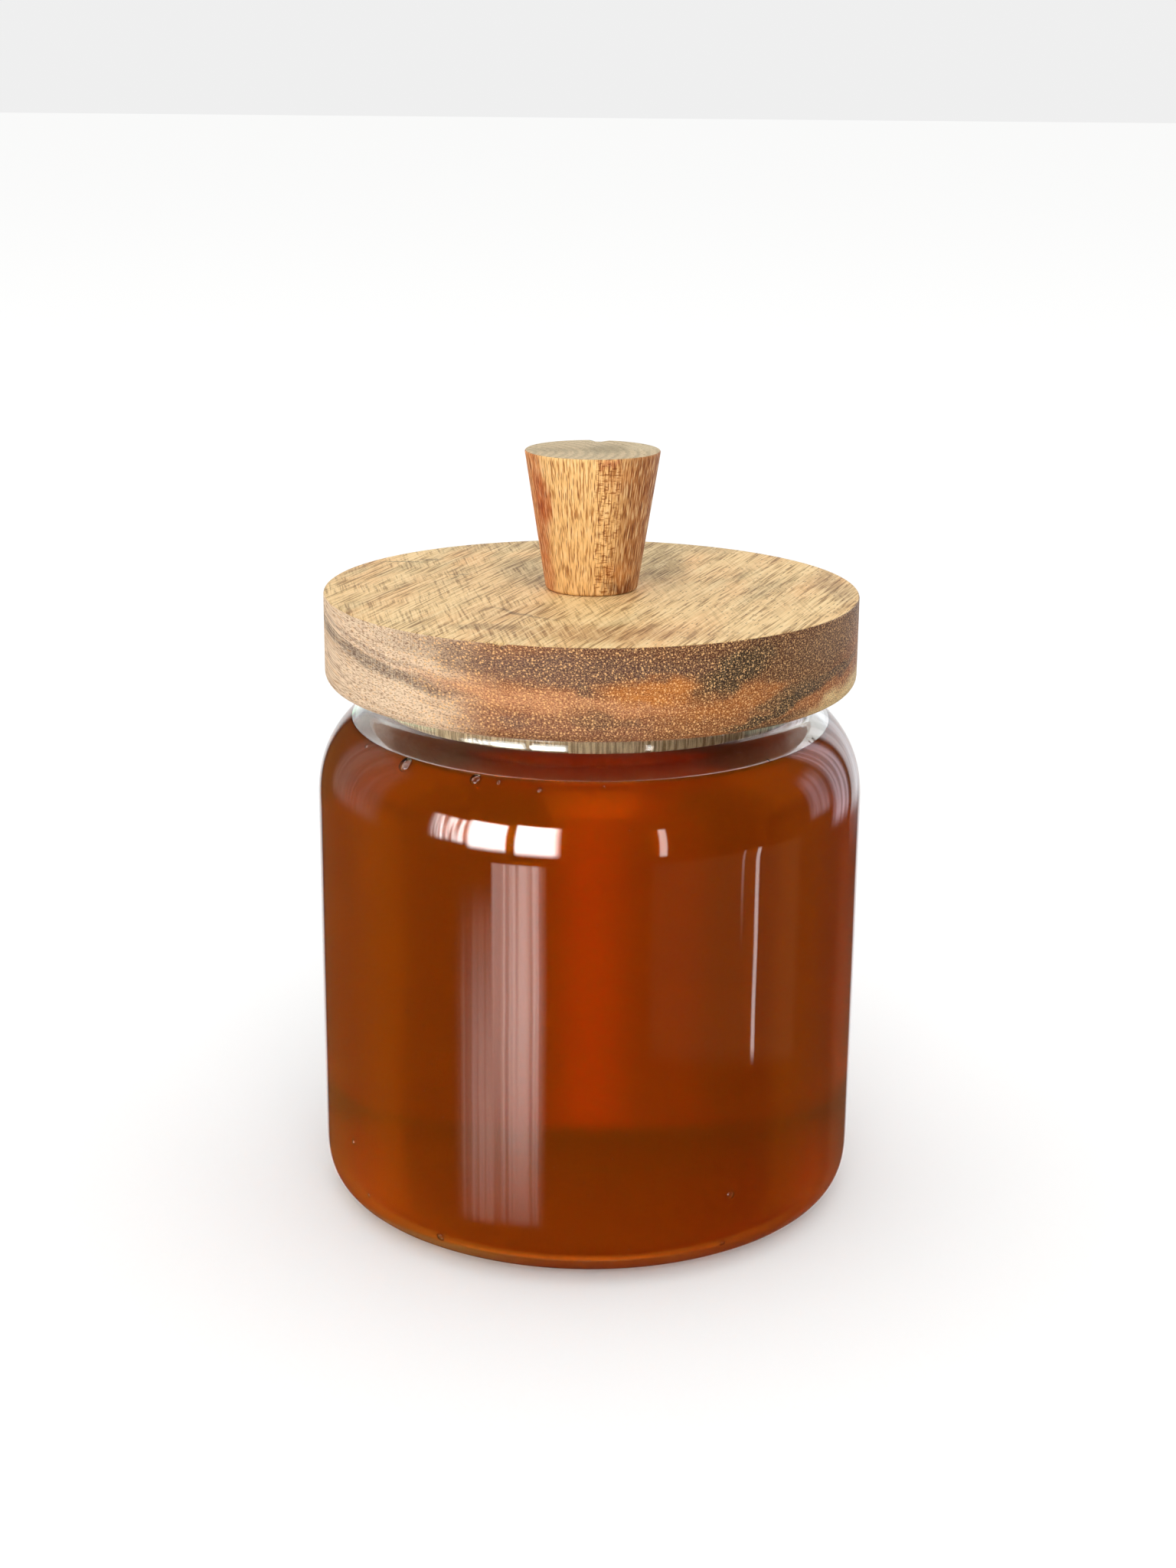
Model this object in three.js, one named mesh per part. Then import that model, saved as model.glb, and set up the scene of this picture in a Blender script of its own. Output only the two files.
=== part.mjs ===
// Honey jar: a round clear glass jar with a thick wooden lid and a tapered wooden knob.
// Millimetres, +Z up. The origin is the middle of the foot, on the surface that the jar stands on.

import * as THREE from 'three';

// Driving dimensions: the glass
const bodyRadius = 48;
const wallThickness = 2.2;
const baseThickness = 2.8;
const footReach = 14.1; // how far in from the wall the rounding of the foot ends
const footRise = 11.9; // how far up the wall it ends
const footFullness = 3.6; // 2 is an ellipse, more is squarer
const pushUpRadius = 26; // the middle of the base stands clear of the surface
const pushUpHeight = 1.2;
const shoulderStart = 72.9; // the wall is straight up to here
const shoulderReach = 25.4;
const shoulderRise = 20.5;
const shoulderFullness = 2.26;
const neckFilletRadius = 2.5; // the hollow curve between shoulder and neck
const neckFilletStartRadius = 39.8;
const neckTop = 93.3;

// Driving dimensions: the honey
const honeyLevel = 85.05;

// Driving dimensions: the lid
const lidRadius = 46.45;
const lidUnderside = 93.6;
const lidThickness = 15.75;
const lidTopBevel = 0.4;
const lidBottomRound = 2.1;
const plugRadius = 35.8; // the turned step under the lid, which sits in the neck
const plugDepth = 4.65;
const plugBevel = 0.5;

// Driving dimensions: the knob
const knobFootRadius = 8.05;
const knobTopRadius = 11.65;
const knobTop = 133.5;
const knobFootRound = 0.8;
const knobTopBevel = 0.3;

const fitGap = 0.3; // between pieces that touch

// How finely round things are divided
const jarSides = 64;
const knobSides = 48;
const cornerSteps = 8;
const smallArcSteps = 3;

const lidTop = lidUnderside + lidThickness;

// A point of an outline with the direction that faces out of the glass there
const outlinePoint = (radius, height, outward, up) => {
  const length = Math.hypot(outward, up);
  return { radius, height, outward: outward / length, up: up / length };
};

// Part of a rounded corner that is squarer than an ellipse. The angle is seen from the corner's centre:
// 0 points at the wall, and a quarter turn points straight up, or straight down where side is -1.
function cornerPoint(centre, reach, rise, fullness, side, angle) {
  const x = Math.cos(angle);
  const y = Math.sin(angle);
  const scale = ((x / reach) ** fullness + (y / rise) ** fullness) ** (-1 / fullness);
  const outward = (x * scale / reach) ** (fullness - 1) / reach;
  const up = side * (y * scale / rise) ** (fullness - 1) / rise;
  return outlinePoint(centre.radius + x * scale, centre.height + side * y * scale, outward, up);
}

const steps = (count) => Array.from({ length: count + 1 }, (_, i) => i / count);

// The underside: a shallow dome, then the flat ring that the jar stands on
function basePoints() {
  return steps(smallArcSteps).map((t) => outlinePoint(
    pushUpRadius * t,
    pushUpHeight * (1 - t * t),
    -2 * pushUpHeight * t / pushUpRadius,
    -1,
  ));
}

// The rounding of the foot, from the flat ring up to the straight wall
function footPoints() {
  const centre = { radius: bodyRadius - footReach, height: footRise };
  return steps(cornerSteps).map((t) => (
    cornerPoint(centre, footReach, footRise, footFullness, -1, (1 - t) * Math.PI / 2)
  ));
}

// The shoulder, from the straight wall in to where the neck's hollow curve begins
function shoulderPoints() {
  const centre = { radius: bodyRadius - shoulderReach, height: shoulderStart };
  const inward = (neckFilletStartRadius - centre.radius) / shoulderReach;
  const end = {
    x: neckFilletStartRadius - centre.radius,
    y: shoulderRise * (1 - inward ** shoulderFullness) ** (1 / shoulderFullness),
  };
  const endAngle = Math.atan2(end.y, end.x);
  return steps(cornerSteps).map((t) => (
    cornerPoint(centre, shoulderReach, shoulderRise, shoulderFullness, 1, t * endAngle)
  ));
}

// The hollow curve that turns the shoulder upright again, and the neck
function neckPoints(shoulderEnd) {
  const centre = {
    radius: shoulderEnd.radius + neckFilletRadius * shoulderEnd.outward,
    height: shoulderEnd.height + neckFilletRadius * shoulderEnd.up,
  };
  const startAngle = Math.atan2(shoulderEnd.up, shoulderEnd.outward);
  const fillet = steps(smallArcSteps).slice(1).map((t) => {
    const angle = startAngle * (1 - t);
    return outlinePoint(
      centre.radius - neckFilletRadius * Math.cos(angle),
      centre.height - neckFilletRadius * Math.sin(angle),
      Math.cos(angle),
      Math.sin(angle),
    );
  });
  const neckRadius = fillet.at(-1).radius;
  return [...fillet, outlinePoint(neckRadius, neckTop - wallThickness / 2, 1, 0)];
}

function glassOutside() {
  const shoulder = shoulderPoints();
  return [...basePoints(), ...footPoints(), ...shoulder, ...neckPoints(shoulder.at(-1))];
}

// The glass measured inwards from its outside: thin up the wall, thicker underneath
function insetPoint(point, extra) {
  const down = Math.max(0, -point.up);
  const depth = wallThickness + (baseThickness - wallThickness) * down ** 2 + extra;
  return {
    radius: Math.max(0, point.radius - depth * point.outward),
    height: point.height - depth * point.up,
  };
}

const lathePoint = ({ radius, height }) => new THREE.Vector2(radius, height);

function turned(points, sides) {
  const geometry = new THREE.LatheGeometry(points, sides);
  geometry.rotateX(Math.PI / 2);
  return geometry;
}

// The jar's wall, out over the foot and shoulder, over the rounded rim and back down inside
function glassGeometry() {
  const outside = glassOutside();
  const inside = outside.map((point) => insetPoint(point, 0));
  const rimRadius = wallThickness / 2;
  const rimCentre = { radius: outside.at(-1).radius - rimRadius, height: neckTop - rimRadius };
  const rim = steps(2 * smallArcSteps).slice(1, -1).map((t) => ({
    radius: rimCentre.radius + rimRadius * Math.cos(t * Math.PI),
    height: rimCentre.height + rimRadius * Math.sin(t * Math.PI),
  }));
  return turned([...outside, ...rim, ...inside.reverse()].map(lathePoint), jarSides);
}

// The honey fills the inside of the glass up to its level
function honeyGeometry() {
  const inside = glassOutside().map((point) => insetPoint(point, fitGap));
  const above = inside.findIndex((point) => point.height > honeyLevel);
  const under = inside[above - 1];
  const share = (honeyLevel - under.height) / (inside[above].height - under.height);
  const edge = {
    radius: under.radius + share * (inside[above].radius - under.radius),
    height: honeyLevel,
  };
  const middle = { radius: 0, height: honeyLevel };
  return turned([...inside.slice(0, above), edge, middle].map(lathePoint), jarSides);
}

// A flat disc with a step under it, crisp above and rounded below
function lidGeometry() {
  const plugBottom = lidUnderside - plugDepth;
  const round = steps(smallArcSteps + 1).map((t) => ({
    radius: lidRadius - lidBottomRound * (1 - Math.sin(t * Math.PI / 2)),
    height: lidUnderside + lidBottomRound * (1 - Math.cos(t * Math.PI / 2)),
  }));
  return turned([
    { radius: 0, height: plugBottom },
    { radius: plugRadius - plugBevel, height: plugBottom },
    { radius: plugRadius, height: plugBottom + plugBevel },
    { radius: plugRadius, height: lidUnderside },
    ...round,
    { radius: lidRadius, height: lidTop - lidTopBevel },
    { radius: lidRadius - lidTopBevel, height: lidTop },
    { radius: 0, height: lidTop },
  ].map(lathePoint), jarSides);
}

// The knob widens upwards, with a small rounding at its foot and a crisp top
function knobGeometry() {
  const knobFoot = lidTop + fitGap;
  const taper = (knobTopRadius - knobFootRadius) / (knobTop - lidTop);
  const radiusAt = (height) => knobFootRadius + taper * (height - lidTop);
  const round = steps(smallArcSteps).map((t) => {
    const height = knobFoot + knobFootRound * (1 - Math.cos(t * Math.PI / 2));
    return { radius: radiusAt(height) - knobFootRound * (1 - Math.sin(t * Math.PI / 2)), height };
  });
  return turned([
    { radius: 0, height: knobFoot },
    ...round,
    { radius: radiusAt(knobTop - knobTopBevel), height: knobTop - knobTopBevel },
    { radius: knobTopRadius - knobTopBevel, height: knobTop },
    { radius: 0, height: knobTop },
  ].map(lathePoint), knobSides);
}

const clearGlass = new THREE.MeshStandardMaterial({
  color: 0xdfe9e4,
  roughness: 0.04,
  metalness: 0,
  transparent: true,
  opacity: 0.35,
});
const honeyAmber = new THREE.MeshStandardMaterial({ color: 0x86400f, roughness: 0.15, metalness: 0 });
const lidWood = new THREE.MeshStandardMaterial({ color: 0xa87f55, roughness: 0.6, metalness: 0 });
const knobWood = new THREE.MeshStandardMaterial({ color: 0xb9773b, roughness: 0.55, metalness: 0 });

const jar = new THREE.Group();

function addPiece(name, geometry, material) {
  const mesh = new THREE.Mesh(geometry, material);
  mesh.name = name;
  jar.add(mesh);
}

addPiece('glass_jar', glassGeometry(), clearGlass);
addPiece('honey', honeyGeometry(), honeyAmber);
addPiece('lid_disc', lidGeometry(), lidWood);
addPiece('lid_knob', knobGeometry(), knobWood);

export default jar;
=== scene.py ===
import math

import bpy
from mathutils import Matrix, Vector


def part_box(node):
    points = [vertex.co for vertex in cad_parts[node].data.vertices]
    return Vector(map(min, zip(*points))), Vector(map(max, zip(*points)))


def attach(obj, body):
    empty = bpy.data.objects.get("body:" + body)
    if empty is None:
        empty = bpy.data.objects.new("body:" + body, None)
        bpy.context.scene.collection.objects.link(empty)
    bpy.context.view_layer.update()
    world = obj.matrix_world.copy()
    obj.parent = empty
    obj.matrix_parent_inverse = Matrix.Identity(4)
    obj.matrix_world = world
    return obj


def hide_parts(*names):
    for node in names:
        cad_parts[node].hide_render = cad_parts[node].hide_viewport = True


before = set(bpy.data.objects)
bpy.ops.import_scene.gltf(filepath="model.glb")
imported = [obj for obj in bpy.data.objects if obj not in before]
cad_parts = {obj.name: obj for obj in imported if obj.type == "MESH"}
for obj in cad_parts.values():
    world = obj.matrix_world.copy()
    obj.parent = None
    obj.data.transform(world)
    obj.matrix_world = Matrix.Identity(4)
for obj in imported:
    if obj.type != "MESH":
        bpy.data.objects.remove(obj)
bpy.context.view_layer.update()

# The sizes in the dictionaries are in millimetres, unless a note says otherwise
millimetre = 0.001

# The CAD pieces give the main sizes, in metres
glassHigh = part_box("glass_jar")[1]
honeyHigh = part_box("honey")[1]
discLow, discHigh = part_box("lid_disc")
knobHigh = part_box("lid_knob")[1]


def report(text):
    print("honey jar:", text)


# Camera

camera = {
    "distance": 429.8,  # from the point that it looks at
    "lookAtHeight": 73.8,
    "lookAtSide": -0.3,
    "pitch": 16.16,  # degrees below the horizon
    "roll": 0.52,
    "focalInFrame": 3149.7,  # focal length in pixels of the 2048 high frame
    "frameHeight": 2048,
    "sensor": 36.0,
    "clip": (0.01, 50.0),  # in metres
}


def makeCamera(spec):
    data = bpy.data.cameras.new("camera")
    data.sensor_width = spec["sensor"]
    data.lens = spec["focalInFrame"] / spec["frameHeight"] * spec["sensor"]
    data.clip_start, data.clip_end = spec["clip"]
    viewer = bpy.data.objects.new("camera", data)
    bpy.context.scene.collection.objects.link(viewer)
    pitch, roll = math.radians(spec["pitch"]), math.radians(spec["roll"])
    away = Vector((0, -math.cos(pitch), math.sin(pitch))) * spec["distance"]
    target = Vector((spec["lookAtSide"], 0, spec["lookAtHeight"]))
    turn = Matrix.Rotation(math.pi / 2 - pitch, 4, "X") @ Matrix.Rotation(roll, 4, "Z")
    viewer.matrix_world = Matrix.Translation((target + away) * millimetre) @ turn
    bpy.context.scene.camera = viewer


makeCamera(camera)
report("camera placed")


# Shader helpers

def tone(code):
    # A colour written as on screen, turned into the linear values that nodes use
    values = [int(code[i:i + 2], 16) / 255 for i in (0, 2, 4)]
    return tuple(v / 12.92 if v <= 0.04045 else ((v + 0.055) / 1.055) ** 2.4 for v in values)


def newMaterial(name):
    material = bpy.data.materials.new(name)
    material.use_nodes = True
    tree = material.node_tree
    tree.nodes.clear()
    output = tree.nodes.new("ShaderNodeOutputMaterial")
    shader = tree.nodes.new("ShaderNodeBsdfPrincipled")
    tree.links.new(shader.outputs["BSDF"], output.inputs["Surface"])
    return material, tree, shader, output


def plug(tree, socket, value):
    if isinstance(value, bpy.types.NodeSocket):
        tree.links.new(value, socket)
    else:
        socket.default_value = value


def objectPlace(tree):
    return tree.nodes.new("ShaderNodeTexCoord").outputs["Object"]


def maths(tree, operation, first, second=0.0, third=0.0):
    made = tree.nodes.new("ShaderNodeMath")
    made.operation = operation
    for socket, value in zip(made.inputs, (first, second, third)):
        plug(tree, socket, value)
    return made.outputs[0]


def vectorMaths(tree, operation, first, second=(0, 0, 0), third=None):
    made = tree.nodes.new("ShaderNodeVectorMath")
    made.operation = operation
    plug(tree, made.inputs[0], first)
    if third is not None:
        plug(tree, made.inputs[2], third)
    if operation == "SCALE":
        plug(tree, made.inputs["Scale"], second)
    else:
        plug(tree, made.inputs[1], second)
    return made.outputs["Value"] if operation in ("LENGTH", "DOT_PRODUCT", "DISTANCE") else made.outputs[0]


def centred(tree, colour):
    # A noise colour as a push to either side
    return vectorMaths(tree, "SUBTRACT", colour, (0.5, 0.5, 0.5))


def turned(tree, vector, axis, degrees):
    made = tree.nodes.new("ShaderNodeVectorRotate")
    made.rotation_type = axis + "_AXIS"
    plug(tree, made.inputs["Vector"], vector)
    made.inputs["Angle"].default_value = math.radians(degrees)
    return made.outputs[0]


def noise(tree, vector, scale, detail=2.0, roughness=0.5):
    made = tree.nodes.new("ShaderNodeTexNoise")
    plug(tree, made.inputs["Vector"], vector)
    made.inputs["Scale"].default_value = scale
    made.inputs["Detail"].default_value = detail
    made.inputs["Roughness"].default_value = roughness
    return made


def grained(tree, place, sizes, detail=2.0, roughness=0.5):
    # Noise whose grains are this long along x, y and z
    counted = vectorMaths(tree, "MULTIPLY", place, tuple(1 / size for size in sizes))
    return noise(tree, counted, 1, detail, roughness)


def cells(tree, vector, scale, dimensions="3D"):
    made = tree.nodes.new("ShaderNodeTexVoronoi")
    made.voronoi_dimensions = dimensions
    plug(tree, made.inputs["Vector"], vector)
    made.inputs["Scale"].default_value = scale
    return made


def spread(tree, value, low, high, toLow=0.0, toHigh=1.0, smooth=True):
    made = tree.nodes.new("ShaderNodeMapRange")
    made.interpolation_type = "SMOOTHSTEP" if smooth else "LINEAR"
    plug(tree, made.inputs["Value"], value)
    made.inputs["From Min"].default_value = low
    made.inputs["From Max"].default_value = high
    made.inputs["To Min"].default_value = toLow
    made.inputs["To Max"].default_value = toHigh
    return made.outputs[0]


def blend(tree, share, first, second, mode="MIX"):
    made = tree.nodes.new("ShaderNodeMix")
    made.data_type = "RGBA"
    made.blend_type = mode
    plug(tree, made.inputs[0], share)
    for socket, value in zip((made.inputs[6], made.inputs[7]), (first, second)):
        plug(tree, socket, (*value, 1.0) if isinstance(value, tuple) else value)
    return made.outputs[2]


ovalEdge = (1.25, 0.45)  # where a stain starts and where it is full, in shares of its size


def stain(tree, place, below, spec):
    # A soft oval patch of colour: centre, half sizes, tilt in degrees, colour, strength
    centre, sizes, tilt, colour, strength = spec
    oval = tree.nodes.new("ShaderNodeMapping")
    oval.vector_type = "TEXTURE"
    oval.inputs["Location"].default_value = (*centre, 0)
    oval.inputs["Rotation"].default_value = (0, 0, math.radians(tilt))
    oval.inputs["Scale"].default_value = (*sizes, 1)
    tree.links.new(place, oval.inputs["Vector"])
    share = spread(tree, vectorMaths(tree, "LENGTH", oval.outputs[0]), *ovalEdge, 0, strength)
    return blend(tree, share, below, tone(colour))


def flat(tree, first, second):
    # Two lengths laid out as a place on a plane
    made = tree.nodes.new("ShaderNodeCombineXYZ")
    plug(tree, made.inputs[0], first)
    plug(tree, made.inputs[1], second)
    return made.outputs[0]


def flatCounted(tree, first, second, sizes):
    # The same, with each length counted in steps of its own size
    steps = [maths(tree, "DIVIDE", length, size) for length, size in zip((first, second), sizes)]
    return flat(tree, *steps)


def parted(tree, vector):
    made = tree.nodes.new("ShaderNodeSeparateXYZ")
    tree.links.new(vector, made.inputs[0])
    return made.outputs


def frontBearing(tree, x, y):
    # The angle from the front in radians, positive to the right
    return maths(tree, "ARCTAN2", x, maths(tree, "MULTIPLY", y, -1))


def bump(tree, height, strength, distance):
    made = tree.nodes.new("ShaderNodeBump")
    made.inputs["Strength"].default_value = strength
    made.inputs["Distance"].default_value = distance
    plug(tree, made.inputs["Height"], height)
    return made.outputs[0]


# Mesh helpers

creaseAngle = math.radians(35)  # edges that turn by more than this stay sharp


def aroundPoint(bearing, radius, height):
    # A point by its bearing from the front, positive to the right
    angle = math.radians(bearing)
    return Vector((math.sin(angle) * radius, -math.cos(angle) * radius, height)) * millimetre


def nothingSelected():
    bpy.ops.object.select_all(action="DESELECT")


def pullRings(name, rings, sides):
    # Draws a circle up ring by ring, given in millimetres, and closes both ends
    rings = [(radius * millimetre, height * millimetre) for radius, height in rings]
    nothingSelected()
    firstRadius, firstHeight = rings[0]
    bpy.ops.mesh.primitive_circle_add(
        vertices=sides,
        radius=firstRadius,
        location=(0, 0, firstHeight),
    )
    piece = bpy.context.object
    piece.name = piece.data.name = name
    bpy.ops.object.transform_apply(location=True, rotation=True, scale=True)
    bpy.ops.object.mode_set(mode="EDIT")
    bpy.ops.mesh.select_all(action="SELECT")
    radius, height = firstRadius, firstHeight
    for nextRadius, nextHeight in rings[1:]:
        bpy.ops.mesh.extrude_edges_move(
            TRANSFORM_OT_translate={"value": (0, 0, nextHeight - height)}
        )
        share = nextRadius / radius
        bpy.ops.transform.resize(value=(share, share, 1), center_override=(0, 0, nextHeight))
        radius, height = nextRadius, nextHeight
    closeRing()
    bpy.ops.mesh.select_all(action="DESELECT")
    bpy.ops.object.mode_set(mode="OBJECT")
    for vertex in piece.data.vertices:
        vertex.select = vertex.index < sides
    bpy.ops.object.mode_set(mode="EDIT")
    bpy.ops.mesh.select_mode(type="VERT")
    closeRing()
    bpy.ops.mesh.select_all(action="SELECT")
    bpy.ops.mesh.normals_make_consistent(inside=False)
    bpy.ops.object.mode_set(mode="OBJECT")
    bpy.ops.object.shade_smooth()
    return piece


def closeRing():
    bpy.ops.mesh.extrude_edges_move(TRANSFORM_OT_translate={"value": (0, 0, 0)})
    bpy.ops.mesh.merge(type="CENTER")


def roundCorner(centre, radius, startDegrees, endDegrees, steps):
    points = []
    for i in range(steps + 1):
        angle = math.radians(startDegrees + (endDegrees - startDegrees) * i / steps)
        points.append((centre[0] + radius * math.cos(angle), centre[1] + radius * math.sin(angle)))
    return points


def cornerRing(centre, reach, rise, fullness, side, angle):
    # A ring on a full oval corner: its radius, height and outward direction
    x, y = math.cos(angle), math.sin(angle)
    scale = ((x / reach) ** fullness + (y / rise) ** fullness) ** (-1 / fullness)
    outward = (x * scale / reach) ** (fullness - 1) / reach
    up = side * (y * scale / rise) ** (fullness - 1) / rise
    length = math.hypot(outward, up)
    return centre[0] + x * scale, centre[1] + side * y * scale, outward / length, up / length


# Glass jar

glass = {
    "wall": 2.2,
    "base": 2.8,
    "footReach": 14.1,
    "footRise": 11.9,
    "footFullness": 3.6,
    "pushUpRadius": 26.0,
    "pushUpHeight": 1.2,
    "shoulderStart": 72.9,
    "shoulderReach": 25.4,
    "shoulderRise": 20.5,
    "shoulderFullness": 2.26,
    "filletRadius": 2.5,
    "filletStartRadius": 39.8,
    "sides": 160,
    "cornerSteps": 22,
    "smallSteps": 7,
    "baseZone": 20.0,  # the inside of the base lies under this height
    "tint": (0.975, 0.985, 0.98),
    "ior": 1.5,
    "waveScale": 28.0,  # a faint unevenness in the wall, its depth in metres
    "waveStrength": 0.25,
    "waveDepth": 0.0006,
}
bodyRadius = glassHigh.x / millimetre
neckTop = glassHigh.z / millimetre


def glassOutside(spec):
    # Rings of radius, height and outward direction, from the middle of the base to the rim
    rings = []
    for i in range(spec["smallSteps"] + 1):
        t = i / spec["smallSteps"]
        slope = 2 * spec["pushUpHeight"] * t / spec["pushUpRadius"]
        length = math.hypot(slope, 1)
        height = spec["pushUpHeight"] * (1 - t * t)
        rings.append((spec["pushUpRadius"] * t, height, -slope / length, -1 / length))
    quarter = math.pi / 2
    reach, rise, fullness = spec["footReach"], spec["footRise"], spec["footFullness"]
    footCentre = (bodyRadius - reach, rise)
    for i in range(spec["cornerSteps"] + 1):
        angle = quarter * (1 - i / spec["cornerSteps"])
        rings.append(cornerRing(footCentre, reach, rise, fullness, -1, angle))
    reach, rise, fullness = spec["shoulderReach"], spec["shoulderRise"], spec["shoulderFullness"]
    shoulderCentre = (bodyRadius - reach, spec["shoulderStart"])
    x = spec["filletStartRadius"] - shoulderCentre[0]
    y = rise * (1 - (x / reach) ** fullness) ** (1 / fullness)
    endAngle = math.atan2(y, x)
    for i in range(spec["cornerSteps"] + 1):
        angle = endAngle * i / spec["cornerSteps"]
        rings.append(cornerRing(shoulderCentre, reach, rise, fullness, 1, angle))
    lastRadius, lastHeight, outward, up = rings[-1]
    hollow = spec["filletRadius"]
    centre = (lastRadius + hollow * outward, lastHeight + hollow * up)
    startAngle = math.atan2(up, outward)
    for i in range(1, spec["smallSteps"] + 1):
        angle = startAngle * (1 - i / spec["smallSteps"])
        x, y = math.cos(angle), math.sin(angle)
        rings.append((centre[0] - hollow * x, centre[1] - hollow * y, x, y))
    rings.append((rings[-1][0], neckTop - spec["wall"] / 2, 1.0, 0.0))
    return rings


def inset(ring, extra, spec):
    # The same ring on the inner wall, and deeper by what is extra
    radius, height, outward, up = ring
    down = max(0.0, -up)
    depth = spec["wall"] + (spec["base"] - spec["wall"]) * down ** 2 + extra
    return radius - depth * outward, height - depth * up


def wetInside(piece, spec):
    # Faces of the inner wall that honey wets have no shine of their own
    for face in piece.data.polygons:
        centre, facing = face.center, face.normal
        inward = centre.x * facing.x + centre.y * facing.y < 0
        onBase = facing.z > 0.5 and centre.z < spec["baseZone"] * millimetre
        if centre.z < honeyHigh.z and (inward or onBase):
            face.material_index = 1


# Air bubbles in the wall, close to the honey: bearing in degrees, height and width in millimetres
bubbles = {
    "places": [
        (-45.1, 86.0, 2.6), (-25.5, 86.0, 2.0), (-20.0, 86.0, 0.9), (-10.7, 85.4, 1.1), (3.1, 86.2, 0.6),
        (44.4, 87.1, 0.8), (65.2, 87.4, 0.8), (-61.6, 86.3, 0.9), (-59.0, 15.2, 1.0), (-53.0, 6.9, 0.9),
        (-31.9, 4.5, 1.5), (31.0, 13.5, 1.6), (29.9, 4.2, 1.0), (140.0, 85.6, 1.3), (-152.0, 86.1, 0.9),
        (171.0, 12.0, 1.1),
    ],
    "depth": 1.05,  # under the outer surface
    "flatness": 0.4,
    "thickest": 0.9,
    "segments": 24,
    "rings": 14,
}


def wallAt(rings, height):
    # Point and outward direction of the outer wall at a height
    for lower, upper in zip(rings, rings[1:]):
        if lower[1] <= height <= upper[1]:
            share = (height - lower[1]) / (upper[1] - lower[1])
            return [low + (high - low) * share for low, high in zip(lower, upper)]
    return rings[-1]


def addBubbles(piece, spec, outside):
    # Each one is a flat closed hollow in the wall, so its faces point into the air in it
    nothingSelected()
    bpy.ops.mesh.primitive_uv_sphere_add(
        segments=spec["segments"],
        ring_count=spec["rings"],
        radius=millimetre / 2,
    )
    first = bpy.context.object
    bpy.ops.object.mode_set(mode="EDIT")
    bpy.ops.mesh.flip_normals()
    bpy.ops.object.mode_set(mode="OBJECT")
    bpy.ops.object.shade_smooth()
    blown = [first]
    for _ in spec["places"][1:]:
        bpy.ops.object.duplicate()
        blown.append(bpy.context.object)
    wall = outside[glass["smallSteps"] + 1:]
    for bubble, (bearing, height, width) in zip(blown, spec["places"]):
        radius, level, outward, up = wallAt(wall, height)
        radius -= spec["depth"] * outward
        level -= spec["depth"] * up
        bubble.location = aroundPoint(bearing, radius, level)
        bubble.rotation_euler = (math.atan2(outward, up), 0, math.radians(bearing))
        bubble.scale = (width, width, min(width * spec["flatness"], spec["thickest"]))
    bpy.context.view_layer.update()
    nothingSelected()
    for bubble in blown:
        bubble.select_set(True)
    piece.select_set(True)
    bpy.context.view_layer.objects.active = piece
    bpy.ops.object.join()


def makeGlassJar(spec):
    outside = glassOutside(spec)
    inside = [inset(ring, 0.0, spec) for ring in outside]
    rim = spec["wall"] / 2
    rimCentre = (outside[-1][0] - rim, neckTop - rim)
    rounded = roundCorner(rimCentre, rim, 0, 180, 2 * spec["smallSteps"])[1:-1]
    # The middles of the base, outside and in, are closed to a point afterwards
    rings = [ring[:2] for ring in outside[1:]] + rounded + list(reversed(inside[1:]))
    piece = pullRings("glassJar", rings, spec["sides"])
    wetInside(piece, spec)
    addBubbles(piece, bubbles, outside)
    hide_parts("glass_jar")
    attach(piece, "root")
    return piece


def glassMaterial(name, spec, shine):
    material, tree, shader, output = newMaterial(name)
    shader.inputs["Specular Tint"].default_value = (shine,) * 3 + (1,)
    shader.inputs["Base Color"].default_value = (*spec["tint"], 1)
    shader.inputs["Transmission Weight"].default_value = 1
    shader.inputs["Roughness"].default_value = 0.0
    shader.inputs["IOR"].default_value = spec["ior"]
    place = objectPlace(tree)
    waves = noise(tree, place, spec["waveScale"], 1.5).outputs[0]
    relief = bump(tree, waves, spec["waveStrength"], spec["waveDepth"])
    tree.links.new(relief, shader.inputs["Normal"])
    # Lamps shine straight through the wall
    clear = tree.nodes.new("ShaderNodeBsdfTransparent")
    choose = tree.nodes.new("ShaderNodeMixShader")
    path = tree.nodes.new("ShaderNodeLightPath")
    tree.links.new(path.outputs["Is Shadow Ray"], choose.inputs[0])
    tree.links.new(shader.outputs[0], choose.inputs[1])
    tree.links.new(clear.outputs[0], choose.inputs[2])
    tree.links.new(choose.outputs[0], output.inputs["Surface"])
    return material


glassJar = makeGlassJar(glass)
glassJar.data.materials.append(glassMaterial("clearGlass", glass, 1.0))
glassJar.data.materials.append(glassMaterial("wettedGlass", glass, 0.0))
report("glass jar blown")


# Honey

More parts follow.
